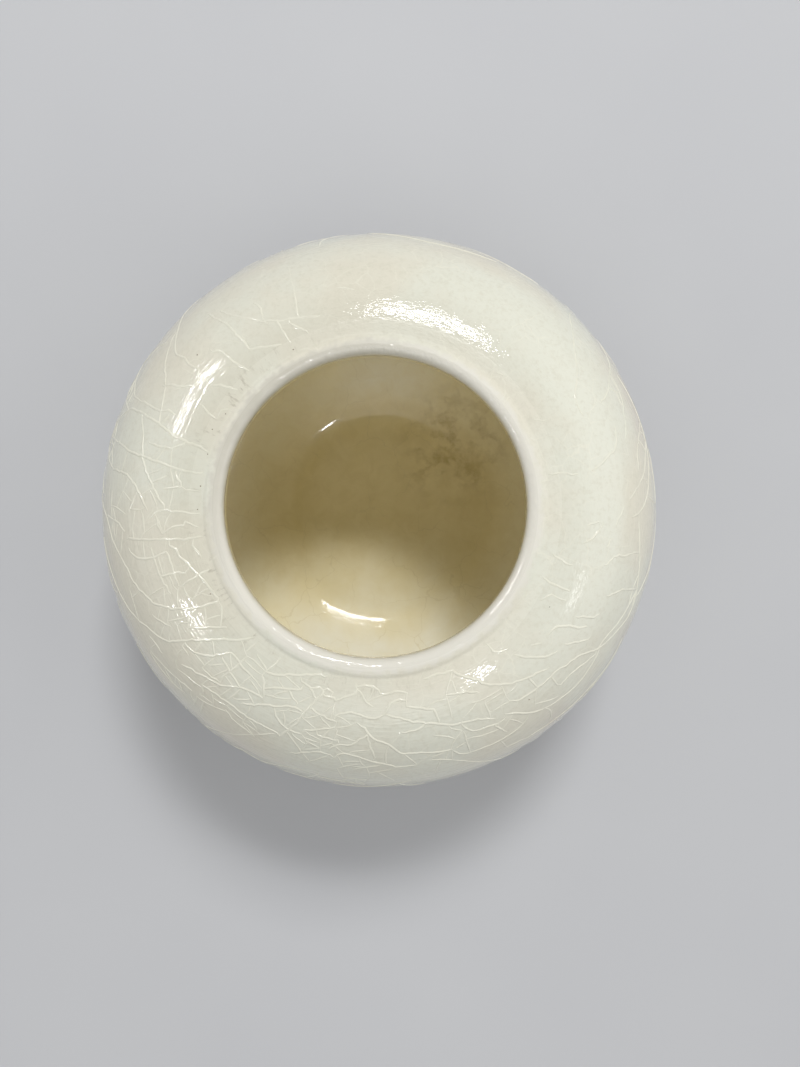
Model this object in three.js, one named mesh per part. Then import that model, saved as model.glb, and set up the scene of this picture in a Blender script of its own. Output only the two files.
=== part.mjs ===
// A squat round porcelain jar with a rolled lip, a low foot ring and a crackled cream glaze.
// Millimetres, +Z up, origin at the centre of the face that the foot ring stands on.
//
// A jar like this never comes apart once it is fired. It is modelled as a potter builds it:
// four clay sections that are luted together on bevelled edges, and three coats of glaze.
// Every piece is turned about the Z axis, so each one is a closed outline given to a lathe.
// Neighbours take their shared faces from the same functions, and so meet exactly.

import * as THREE from "three";

// Finished sizes of the whole jar, glaze included
const GIRTH_RADIUS = 45; // widest point of the belly
const GIRTH_HEIGHT = 28; // how high the widest point lies
const JAR_HEIGHT = 57; // crest of the lip
const MOUTH_RADIUS = 21.4; // inside of the lip
const LIP_ROUND = 1.35; // rounding of the lip from its inside to its crest
const LIP_SPREAD = 2.4; // rounding of the lip from its crest outwards
const LIP_SLOPE = 33; // degrees that the lip falls where the groove takes over
const GROOVE_ROUND = 0.9; // shallow hollow where the lip meets the shoulder
const SHOULDER_FULLNESS = 2.2; // 2 gives an ellipse, and more a flatter, squarer shoulder
const FOOT_SLOPE = 22; // degrees that the belly climbs where it leaves the foot

// Walls and coats
const WALL = 3.2; // clay at the girth
const NECK_WALL = 2.7; // clay under the lip
const FLOOR_CLAY = 3.6; // clay of the floor
const GLAZE = 0.35; // every coat of glaze
const FLOOR_RADIUS = 17; // the flat part of the floor inside
const FLOOR_ROUND = 9; // bend from the floor up into the wall
const FLOOR_SLOPE = 20; // degrees that this bend turns through
const THROAT_ROUND = 1.4; // rounding where the throat opens into the belly

// Foot
const FOOT_RADIUS = 25.2; // outside of the foot ring, glaze included
const FOOT_WIDTH = 4.6; // clay across the foot ring
const FOOT_HEIGHT = 4.4; // where the belly starts, above the table
const FOOT_ROUND = 0.8; // rounding of the ring's bare lower edges
const BARE_BAND = 1.3; // height of clay left bare above the table

// How far the bevelled seam at the girth climbs on its way through the wall
const GIRTH_BEVEL = 1.6;

// Fineness of the facets
const TURN_STEPS = 40;
const BELLY_STEPS = 7;
const ROUND_STEPS = 3;

const degrees = (angle) => (angle * Math.PI) / 180;
const point = (r, z) => new THREE.Vector2(r, z);

// An arc of an ellipse, or of a squarer curve where fullness is over 2. depth moves each point
// square to the curve, towards its centre.
function arc({ centre, a, b, fullness = 2 }, from, to, depth, steps) {
  const raised = (value, power) => Math.sign(value) * Math.abs(value) ** power;
  const points = [];
  for (let i = 0; i <= steps; i++) {
    const t = degrees(from + ((to - from) * i) / steps);
    const away = point(
      raised(Math.cos(t), 2 - 2 / fullness) / a,
      raised(Math.sin(t), 2 - 2 / fullness) / b,
    ).setLength(depth);
    const r = centre.x + a * raised(Math.cos(t), 2 / fullness) - away.x;
    const z = centre.y + b * raised(Math.sin(t), 2 / fullness) - away.y;
    points.push(point(r, z));
  }
  return points;
}

const roundArc = (centre, radius, from, to) =>
  arc({ centre, a: radius, b: radius }, from, to, 0, ROUND_STEPS);

// The ellipse that stands upright at the girth and has a given slope at its lower end. sweep is
// the angle from the girth to that end.
function curveBelowGirth(girthRadius, end, slope) {
  const across = girthRadius - end.x;
  const drop = GIRTH_HEIGHT - end.y;
  const share = (Math.tan(degrees(slope)) * across) / drop;
  const sweep = Math.acos(share / (1 - share));
  const a = across / (1 - Math.cos(sweep));
  const b = drop / Math.sin(sweep);
  const centre = point(girthRadius - a, GIRTH_HEIGHT);
  return { centre, a, b, sweep: (sweep * 180) / Math.PI };
}

// The full curve that stands upright at the girth and lies level at its upper end
const curveAboveGirth = (girthRadius, end) => ({
  centre: point(end.x, GIRTH_HEIGHT),
  a: girthRadius - end.x,
  b: end.y - GIRTH_HEIGHT,
  fullness: SHOULDER_FULLNESS,
});

// The lip, the hollow round its root and the throat's rounded lower edge
const crestRadius = MOUTH_RADIUS + LIP_ROUND;
const lipInnerCentre = point(crestRadius, JAR_HEIGHT - LIP_ROUND);
const lipOuterCentre = point(crestRadius, JAR_HEIGHT - LIP_SPREAD);
const lipToGroove = LIP_SPREAD + GROOVE_ROUND;
const grooveCentre = point(
  lipOuterCentre.x + lipToGroove * Math.sin(degrees(LIP_SLOPE)),
  lipOuterCentre.y + lipToGroove * Math.cos(degrees(LIP_SLOPE)),
);
const neck = point(grooveCentre.x, grooveCentre.y - GROOVE_ROUND);
const throatEnd = point(MOUTH_RADIUS + THROAT_ROUND, neck.y - NECK_WALL - 2 * GLAZE);
const throatCentre = point(throatEnd.x, throatEnd.y + THROAT_ROUND);

// The long curves of the body
const insideGirth = GIRTH_RADIUS - WALL - 2 * GLAZE;
const footEdge = point(FOOT_RADIUS, FOOT_HEIGHT);
const shoulderCurve = curveAboveGirth(GIRTH_RADIUS, neck);
const ceilingCurve = curveAboveGirth(insideGirth, throatEnd);
const bellyCurve = curveBelowGirth(GIRTH_RADIUS, footEdge, FOOT_SLOPE);

// Every stretch of surface as a function of its depth: 0 is the glaze's face, GLAZE is the clay's

const bellyOutside = (depth) => arc(bellyCurve, -bellyCurve.sweep, 0, depth, BELLY_STEPS);
const shoulderOutside = (depth) => arc(shoulderCurve, 0, 90, depth, BELLY_STEPS);
const groove = (depth) => roundArc(grooveCentre, GROOVE_ROUND + depth, 270, 270 - LIP_SLOPE);
const lipOuterRoll = (depth) => roundArc(lipOuterCentre, LIP_SPREAD - depth, 90 - LIP_SLOPE, 90);
const lipInnerRoll = (depth) => roundArc(lipInnerCentre, LIP_ROUND - depth, 90, 180);
const throatEdge = (depth) => roundArc(throatCentre, THROAT_ROUND - depth, 180, 270);

// The angle on the ceiling's curve where the girth seam comes out
const seamRise = (GIRTH_BEVEL / ceilingCurve.b) ** (SHOULDER_FULLNESS / 2);
const seamAngle = (Math.asin(seamRise) * 180) / Math.PI;

const ceiling = (depth) => arc(ceilingCurve, 90, seamAngle, -depth, BELLY_STEPS);
const seamToGirth = (depth) => arc(ceilingCurve, seamAngle, 0, -depth, 1);

// The foot ring is luted under the bowl where the belly's clay ends
const seatHeight = bellyOutside(GLAZE)[0].y;
const floorHeight = seatHeight + FLOOR_CLAY + GLAZE;
const clayFoot = FOOT_RADIUS - GLAZE;
const recessRadius = clayFoot - FOOT_WIDTH;

// Inside of the lower half, from the girth round the bend to the edge of the flat floor
const bendCentre = point(FLOOR_RADIUS, floorHeight + FLOOR_ROUND);
const bendEnd = point(
  bendCentre.x + FLOOR_ROUND * Math.sin(degrees(FLOOR_SLOPE)),
  bendCentre.y - FLOOR_ROUND * Math.cos(degrees(FLOOR_SLOPE)),
);
const bowlCurve = curveBelowGirth(insideGirth, bendEnd, FLOOR_SLOPE);
const bowlInside = (depth) => [
  ...arc(bowlCurve, 0, -bowlCurve.sweep, -depth, BELLY_STEPS),
  ...roundArc(bendCentre, FLOOR_ROUND + depth, FLOOR_SLOPE - 90, -90),
];

// Joins stretches of outline into one, without the points that two stretches share
function outline(...stretches) {
  const joined = [];
  for (const p of stretches.flat()) {
    const last = joined.at(-1);
    if (!last || last.distanceTo(p) > 1e-6) joined.push(p);
  }
  return joined;
}

// Turns an outline about Z. A ring's outline is closed here, a disc's starts and ends on the axis.
function turned(name, points, material) {
  const onAxis = points[0].x === 0 && points.at(-1).x === 0;
  const profile = onAxis ? points : [...points, points[0].clone()];
  const geometry = new THREE.LatheGeometry(profile, TURN_STEPS);
  geometry.rotateX(Math.PI / 2);
  const mesh = new THREE.Mesh(geometry, material);
  mesh.name = name;
  return mesh;
}

const bareClay = new THREE.MeshStandardMaterial({ color: 0xd9c9ad, roughness: 0.85 });
const creamGlaze = new THREE.MeshStandardMaterial({ color: 0xe4e2d2, roughness: 0.12 });
const innerTint = new THREE.MeshStandardMaterial({ color: 0xd8cca2, roughness: 0.14 });

// The ring that the jar stands on, bare at its lower edges
function footRing() {
  const points = outline(
    roundArc(point(clayFoot - FOOT_ROUND, FOOT_ROUND), FOOT_ROUND, -90, 0),
    [point(clayFoot, BARE_BAND), point(clayFoot, seatHeight)],
    [point(recessRadius, seatHeight), point(recessRadius, BARE_BAND)],
    roundArc(point(recessRadius + FOOT_ROUND, FOOT_ROUND), FOOT_ROUND, 180, 270),
  );
  return turned("foot_ring", points, bareClay);
}

// Floor and lower wall, up to the bevelled seam at the girth
function lowerBowl() {
  const points = outline(
    [point(0, seatHeight)],
    bellyOutside(GLAZE),
    seamToGirth(GLAZE),
    bowlInside(GLAZE),
    [point(0, floorHeight - GLAZE)],
  );
  return turned("lower_bowl", points, bareClay);
}

// Upper wall, from the girth seam to the bevelled seam under the lip
function shoulder() {
  const points = outline(shoulderOutside(GLAZE), throatEdge(GLAZE), ceiling(GLAZE));
  return turned("shoulder", points, bareClay);
}

// The rolled lip, luted on the shoulder's bevelled edge
function lip() {
  const throatTop = throatEdge(GLAZE)[0];
  const points = outline(groove(GLAZE), lipOuterRoll(GLAZE), lipInnerRoll(GLAZE), [throatTop]);
  return turned("lip", points, bareClay);
}

// The coat outside, from the bare band at the foot up to the crest of the lip
function outerGlaze() {
  const face = (depth) => [
    ...bellyOutside(depth),
    ...shoulderOutside(depth),
    ...groove(depth),
    ...lipOuterRoll(depth),
  ];
  const points = outline(
    [point(clayFoot, BARE_BAND), point(FOOT_RADIUS, BARE_BAND)],
    face(0),
    face(GLAZE).reverse(),
    [point(clayFoot, seatHeight)],
  );
  return turned("outer_glaze", points, creamGlaze);
}

// The coat inside, poured from the crest of the lip down to the floor
function innerGlaze() {
  const face = (depth) => [
    ...lipInnerRoll(depth),
    ...throatEdge(depth),
    ...ceiling(depth),
    ...seamToGirth(depth),
    ...bowlInside(depth),
  ];
  const points = outline(
    [point(0, floorHeight - GLAZE)],
    face(GLAZE).reverse(),
    face(0),
    [point(0, floorHeight)],
  );
  return turned("inner_glaze", points, innerTint);
}

// The coat in the hollow under the jar, inside the foot ring
function baseGlaze() {
  const points = outline(
    [point(0, seatHeight - GLAZE), point(recessRadius - GLAZE, seatHeight - GLAZE)],
    [point(recessRadius - GLAZE, BARE_BAND), point(recessRadius, BARE_BAND)],
    [point(recessRadius, seatHeight), point(0, seatHeight)],
  );
  return turned("base_glaze", points, creamGlaze);
}

const jar = new THREE.Group();
jar.add(footRing(), lowerBowl(), shoulder(), lip(), outerGlaze(), innerGlaze(), baseGlaze());

export default jar;
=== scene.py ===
# %% [markdown]
# A squat porcelain jar under a crackled cream glaze
#
# The jar is 90 mm wide and 57 mm high, seen from almost straight above. Its clay body comes from
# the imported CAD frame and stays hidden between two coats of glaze. What shows is the glaze, so
# this lesson is about turned skins, a network of raised cracks, and glossy materials whose colour
# changes slowly over the pot. Everything is in metres here, but a potter thinks in millimetres,
# so the sizes are written in those and multiplied by MM.

# %% Load the frame
import bisect
import random
from math import acos, atan2, copysign, cos, degrees, dist, floor, hypot, pi, radians, sin, tan, tau

import bpy
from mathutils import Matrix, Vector


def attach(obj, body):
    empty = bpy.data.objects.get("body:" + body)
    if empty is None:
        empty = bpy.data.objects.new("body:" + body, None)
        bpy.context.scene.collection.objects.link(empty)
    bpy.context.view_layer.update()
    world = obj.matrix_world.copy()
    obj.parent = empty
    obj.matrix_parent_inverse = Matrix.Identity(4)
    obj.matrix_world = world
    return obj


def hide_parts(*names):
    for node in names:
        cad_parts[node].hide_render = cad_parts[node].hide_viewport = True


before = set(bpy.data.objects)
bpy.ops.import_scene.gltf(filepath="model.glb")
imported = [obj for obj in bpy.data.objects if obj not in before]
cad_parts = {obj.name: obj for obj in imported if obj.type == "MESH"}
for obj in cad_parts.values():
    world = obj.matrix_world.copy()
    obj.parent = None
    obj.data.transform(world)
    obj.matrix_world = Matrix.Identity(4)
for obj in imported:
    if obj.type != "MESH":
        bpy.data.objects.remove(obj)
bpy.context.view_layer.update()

MM = 0.001
print("CAD nodes:", sorted(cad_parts))

# %% [markdown]
# The camera
#
# The photograph looks almost straight down from some 20 cm above the table. Such a close camera
# makes the lip look larger than it is and hides the lower half of the belly. The focal length is
# known only in pixels of an 800 by 1067 picture. Blender wants it in millimetres on a 36 mm
# sensor, which lies along the longer side of the picture.

# %% Place the camera
PHOTO_HEIGHT_PX = 1067
FOCAL_PX = 1000
SENSOR_MM = 36.0
CAMERA_PLACE = (4.35, -4.64, 196.97)  # mm
LEAN_NORTH = 0.33  # degrees that the view leans to +Y
LEAN_WEST = 0.35  # degrees that it leans to -X

bpy.ops.object.camera_add(
    location=[c * MM for c in CAMERA_PLACE],
    rotation=(radians(LEAN_NORTH), radians(LEAN_WEST), 0),
)
camera = bpy.context.object
camera.data.sensor_width = SENSOR_MM
camera.data.lens = FOCAL_PX / PHOTO_HEIGHT_PX * SENSOR_MM
camera.data.clip_start = 10 * MM
bpy.context.scene.camera = camera
print("lens in mm:", round(camera.data.lens, 2))

# %% [markdown]
# The sizes
#
# These are the CAD source's own sizes, so that every skin made here lies where the CAD piece that
# it stands for lies. Only the girth is a tenth of a millimetre smaller, which leaves room inside
# the CAD box for cracks that stand proud of the glaze.

# %% Sizes in millimetres
CAD_GIRTH_RADIUS = 45
GIRTH_RADIUS = CAD_GIRTH_RADIUS - 0.1
GIRTH_HEIGHT = 28
JAR_HEIGHT = 57
MOUTH_RADIUS = 21.4
LIP_ROUND = 1.35
LIP_SPREAD = 2.4
LIP_SLOPE = 33
GROOVE_ROUND = 0.9
SHOULDER_FULLNESS = 2.2
FOOT_SLOPE = 22
WALL = 3.2
NECK_WALL = 2.7
FLOOR_CLAY = 3.6
GLAZE = 0.35
FLOOR_RADIUS = 17
FLOOR_ROUND = 9
FLOOR_SLOPE = 20
THROAT_ROUND = 1.4
FOOT_RADIUS = 25.2
FOOT_WIDTH = 4.6
FOOT_HEIGHT = 4.4
FOOT_ROUND = 0.8
BARE_BAND = 1.3
TURN_STEPS = 216  # facets round the jar
LONG_STEPS = 64  # facets along a belly curve that shows
ROLL_STEPS = 18  # facets along a small rounding that shows
HIDDEN_STEPS = 8  # facets along a curve that nobody sees
print("the jar is", 2 * GIRTH_RADIUS, "mm wide and", JAR_HEIGHT, "mm high")

# %% [markdown]
# Curves
#
# A potter's profile is a chain of soft curves. A quarter of an ellipse is too round for this
# shoulder, which stays level near the lip and turns down late, so its curve is a superellipse:
# the same formula with a higher power. One function gives both, and moves each point square to
# the curve, so a coat of even thickness comes from two calls.


# %% Profile curves
def raised(value, power):
    return copysign(abs(value) ** power, value)


def arc(centre, across, high, start, end, steps, depth=0.0, fullness=2.0):
    """Points (radius, height) on an ellipse, or on a squarer curve when fullness is over 2"""
    points = []
    for i in range(steps + 1):
        turn = radians(start + (end - start) * i / steps)
        out = raised(cos(turn), 2 - 2 / fullness) / across
        up = raised(sin(turn), 2 - 2 / fullness) / high
        size = hypot(out, up)
        points.append((
            centre[0] + across * raised(cos(turn), 2 / fullness) - depth * out / size,
            centre[1] + high * raised(sin(turn), 2 / fullness) - depth * up / size,
        ))
    return points


def curve_below_girth(girth_radius, end, slope):
    """Centre, half axes and sweep of the ellipse from the girth to an end with a given slope"""
    across = girth_radius - end[0]
    drop = GIRTH_HEIGHT - end[1]
    share = tan(radians(slope)) * across / drop
    sweep = acos(share / (1 - share))
    a = across / (1 - cos(sweep))
    return (girth_radius - a, GIRTH_HEIGHT), a, drop / sin(sweep), degrees(sweep)


def outline(*stretches):
    """Joins stretches into one outline, without the points that two of them share"""
    joined = []
    for point in (p for stretch in stretches for p in stretch):
        if not joined or dist(joined[-1], point) > 1e-4:
            joined.append(point)
    return joined


crest = (MOUTH_RADIUS + LIP_ROUND, JAR_HEIGHT)
lip_inner_centre = (crest[0], JAR_HEIGHT - LIP_ROUND)
lip_outer_centre = (crest[0], JAR_HEIGHT - LIP_SPREAD)
lip_to_groove = LIP_SPREAD + GROOVE_ROUND
groove_centre = (
    crest[0] + lip_to_groove * sin(radians(LIP_SLOPE)),
    lip_outer_centre[1] + lip_to_groove * cos(radians(LIP_SLOPE)),
)
neck = (groove_centre[0], groove_centre[1] - GROOVE_ROUND)
throat_end = (MOUTH_RADIUS + THROAT_ROUND, neck[1] - NECK_WALL - 2 * GLAZE)
throat_centre = (throat_end[0], throat_end[1] + THROAT_ROUND)
inside_girth = CAD_GIRTH_RADIUS - WALL - 2 * GLAZE
belly_curve = curve_below_girth(GIRTH_RADIUS, (FOOT_RADIUS, FOOT_HEIGHT), FOOT_SLOPE)


def belly_outside(depth, steps):
    centre, a, b, sweep = belly_curve
    return arc(centre, a, b, -sweep, 0, steps, depth)


def shoulder_outside(depth, steps):
    centre = (neck[0], GIRTH_HEIGHT)
    across, high = GIRTH_RADIUS - neck[0], neck[1] - GIRTH_HEIGHT
    return arc(centre, across, high, 0, 90, steps, depth, SHOULDER_FULLNESS)


def ceiling(depth, steps):
    centre = (throat_end[0], GIRTH_HEIGHT)
    across, high = inside_girth - throat_end[0], throat_end[1] - GIRTH_HEIGHT
    return arc(centre, across, high, 90, 0, steps, -depth, SHOULDER_FULLNESS)


def small_arc(centre, radius, start, end, steps):
    return arc(centre, radius, radius, start, end, steps)


seat_height = belly_outside(GLAZE, HIDDEN_STEPS)[0][1]
floor_height = seat_height + FLOOR_CLAY + GLAZE
clay_foot = FOOT_RADIUS - GLAZE
recess_radius = clay_foot - FOOT_WIDTH
bend_centre = (FLOOR_RADIUS, floor_height + FLOOR_ROUND)
bend_end = (
    bend_centre[0] + FLOOR_ROUND * sin(radians(FLOOR_SLOPE)),
    bend_centre[1] - FLOOR_ROUND * cos(radians(FLOOR_SLOPE)),
)
bowl_curve = curve_below_girth(inside_girth, bend_end, FLOOR_SLOPE)


def bowl_inside(depth, steps):
    centre, a, b, sweep = bowl_curve
    wall = arc(centre, a, b, 0, -sweep, steps, -depth)
    bend = small_arc(bend_centre, FLOOR_ROUND + depth, FLOOR_SLOPE - 90, -90, steps // 3)
    return wall + bend


print("floor at", round(floor_height, 2), "mm, seat at", round(seat_height, 2), "mm")

# %% [markdown]
# Turning a skin
#
# A pot is turned on a wheel, and so are its skins. A plane is merged to one vertex, which is
# extruded through all the points of the outline, and the outline is spun once round Z. The spin
# leaves doubled vertices at its seam and on the axis, and faces that may point inwards, so
# doubles are merged and normals recalculated. A Screw modifier would do the same with less to see.


# %% A helper that turns an outline
def turned(name, points):
    """Threads vertices through an outline and spins it into a closed skin"""
    bpy.ops.object.select_all(action="DESELECT")
    bpy.ops.mesh.primitive_plane_add(size=MM)
    piece = bpy.context.object
    piece.name = piece.data.name = name
    bpy.ops.object.mode_set(mode="EDIT")
    bpy.ops.mesh.merge(type="CENTER")
    bpy.ops.transform.translate(value=(points[0][0] * MM, 0, points[0][1] * MM))
    for here, there in zip(points, points[1:]):
        move = ((there[0] - here[0]) * MM, 0, (there[1] - here[1]) * MM)
        bpy.ops.mesh.extrude_vertices_move(TRANSFORM_OT_translate={"value": move})
    bpy.ops.mesh.select_all(action="SELECT")
    bpy.ops.mesh.spin(steps=TURN_STEPS, angle=tau, center=(0, 0, 0), axis=(0, 0, 1))
    bpy.ops.mesh.select_all(action="SELECT")
    bpy.ops.mesh.remove_doubles(threshold=0.001 * MM)
    bpy.ops.mesh.normals_make_consistent(inside=False)
    bpy.ops.object.mode_set(mode="OBJECT")
    bpy.ops.object.shade_smooth_by_angle(angle=radians(40))
    print(name, "has vertices and faces:", len(piece.data.vertices), len(piece.data.polygons))
    return piece


# %% [markdown]
# The outer coat
#
# The glaze outside runs from a bare band above the foot, over the belly and shoulder, through the
# soft hollow round the lip's root, to the crest of the lip. Its lower edge is a small round bead,
# as where melted glaze stops. The crest has a hair's breadth of level ground, because there the
# inner coat takes over, and both skins then share one upright normal and show no line.

# %% Turn the outer coat
CREST_FLAT = 0.03
EDGE_BEAD = GLAZE / 2

bead_centre = (clay_foot + EDGE_BEAD, BARE_BAND + EDGE_BEAD)


def outer_face(depth, long_steps, roll_steps):
    return outline(
        belly_outside(depth, long_steps),
        shoulder_outside(depth, long_steps),
        small_arc(groove_centre, GROOVE_ROUND + depth, 270, 270 - LIP_SLOPE, roll_steps // 2),
        small_arc(lip_outer_centre, LIP_SPREAD - depth, 90 - LIP_SLOPE, 89, roll_steps),
    )


outer_coat = turned("outer_coat", outline(
    small_arc(bead_centre, EDGE_BEAD, 180, 360, 8),
    outer_face(0, LONG_STEPS, ROLL_STEPS),
    [(crest[0] + CREST_FLAT, crest[1]), crest, (crest[0], crest[1] - GLAZE)],
    outer_face(GLAZE, HIDDEN_STEPS, HIDDEN_STEPS)[::-1],
    [(clay_foot, seat_height), (clay_foot, bead_centre[1])],
))
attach(outer_coat, "root")
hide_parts("outer_glaze")

# %% [markdown]
# The inner coat
#
# Glaze poured inside covers the lip's inner half, the throat, the hollow of the belly, the bend
# at its foot and the flat floor. Only the floor, the bend and the lower wall can be seen through
# the mouth, but the whole coat is turned, because the jar may be tipped. It closes on the axis.

# %% Turn the inner coat
def inner_face(depth, long_steps, roll_steps):
    return outline(
        small_arc(lip_inner_centre, LIP_ROUND - depth, 92, 180, roll_steps),
        small_arc(throat_centre, THROAT_ROUND - depth, 180, 270, roll_steps),
        ceiling(depth, long_steps),
        bowl_inside(depth, long_steps),
    )


inner_coat = turned("inner_coat", outline(
    [(0, floor_height - GLAZE)],
    inner_face(GLAZE, HIDDEN_STEPS, HIDDEN_STEPS)[::-1],
    [(crest[0], crest[1] - GLAZE), crest, (crest[0] - CREST_FLAT, crest[1])],
    inner_face(0, LONG_STEPS, ROLL_STEPS),
    [(FLOOR_RADIUS * part / 8, floor_height) for part in range(7, -1, -1)],
))
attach(inner_coat, "root")
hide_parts("inner_glaze")

# %% [markdown]
# The foot
#
# A turned ring of bare clay carries the jar. Its lower edges are rounded, so they don't chip, and
# the hollow inside it has a coat of its own, which pools in the corner. The ring is cut in a few
# light passes of a turning tool, which leave shallow steps on its lower face.

# %% Turn the foot ring and the coat in its hollow
POOL_ROUND = 1.1  # mm, where the glaze pools in the corner of the hollow
TOOL_STEP = 0.04  # mm, depth of the turning tool's marks

ring_low = [
    (recess_radius + FOOT_ROUND + (FOOT_WIDTH - 2 * FOOT_ROUND) * part / 12,
     TOOL_STEP * (part % 2) if 0 < part < 12 else 0.0)
    for part in range(13)
]
foot = turned("foot", outline(
    ring_low,
    small_arc((clay_foot - FOOT_ROUND, FOOT_ROUND), FOOT_ROUND, -90, 0, 8),
    [(clay_foot, seat_height), (recess_radius, seat_height)],
    small_arc((recess_radius + FOOT_ROUND, FOOT_ROUND), FOOT_ROUND, 180, 270, 8),
))
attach(foot, "root")
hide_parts("foot_ring")

base_wall = recess_radius - GLAZE
base_face = seat_height - GLAZE
pool_centre = (base_wall - POOL_ROUND, base_face - POOL_ROUND)
base_bead = (recess_radius - EDGE_BEAD, BARE_BAND + EDGE_BEAD)
base_coat = turned("base_coat", outline(
    [(pool_centre[0] * part / 6, base_face) for part in range(7)],
    small_arc(pool_centre, POOL_ROUND, 90, 0, 8),
    small_arc(base_bead, EDGE_BEAD, 180, 360, 8),
    [(recess_radius, seat_height), (0, seat_height)],
))
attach(base_coat, "root")
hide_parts("base_glaze")

# %% [markdown]
# Where a crack lies
#
# The crackle is a net of thin raised lines. Each line is written in pairs of an angle round the
# jar and a length along the skin, outwards and down from the neck. This cell walks down the
# outer curve once and keeps the running length, so that such a pair can be turned into a place on
# the skin, or a little under it.

# %% A place on the outer coat from an angle and a length
coat_line = shoulder_outside(0, 400)[::-1] + belly_outside(0, 400)[::-1][1:]
coat_run = [0.0]
for here, there in zip(coat_line, coat_line[1:]):
    coat_run.append(coat_run[-1] + dist(here, there))
foot_run = coat_run[-1]


def on_coat(angle, run, depth=0.0):
    """Place in mm on the outer coat, sunk square to it by depth"""
    i = min(max(bisect.bisect(coat_run, run), 1), len(coat_run) - 1)
    (r0, z0), (r1, z1) = coat_line[i - 1], coat_line[i]
    part = (run - coat_run[i - 1]) / (coat_run[i] - coat_run[i - 1])
    size = dist(coat_line[i - 1], coat_line[i])
    out, up = (z0 - z1) / size, (r1 - r0) / size
    radius = r0 + (r1 - r0) * part - depth * out
    height = z0 + (z1 - z0) * part - depth * up
    turn = radians(angle)
    return Vector((radius * cos(turn), radius * sin(turn), height))


print("from neck to foot along the coat:", round(foot_run, 1), "mm")

# %% [markdown]
# The cracks that the photograph shows
#
# These routes were read off the photograph. A route is a chain of an angle in degrees from
# +X, against the clock, a length in mm outwards from the neck, the next angle and so on. The
# lengths were read on a rounder curve, so each is scaled and shifted to lie on this one. Strong
# lines come first, then common and faint ones.

# %% Routes of the cracks as read
READING = 0.865  # mm along this coat for each mm of a reading
READING_START = -0.47  # mm along this coat where the readings start

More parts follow.
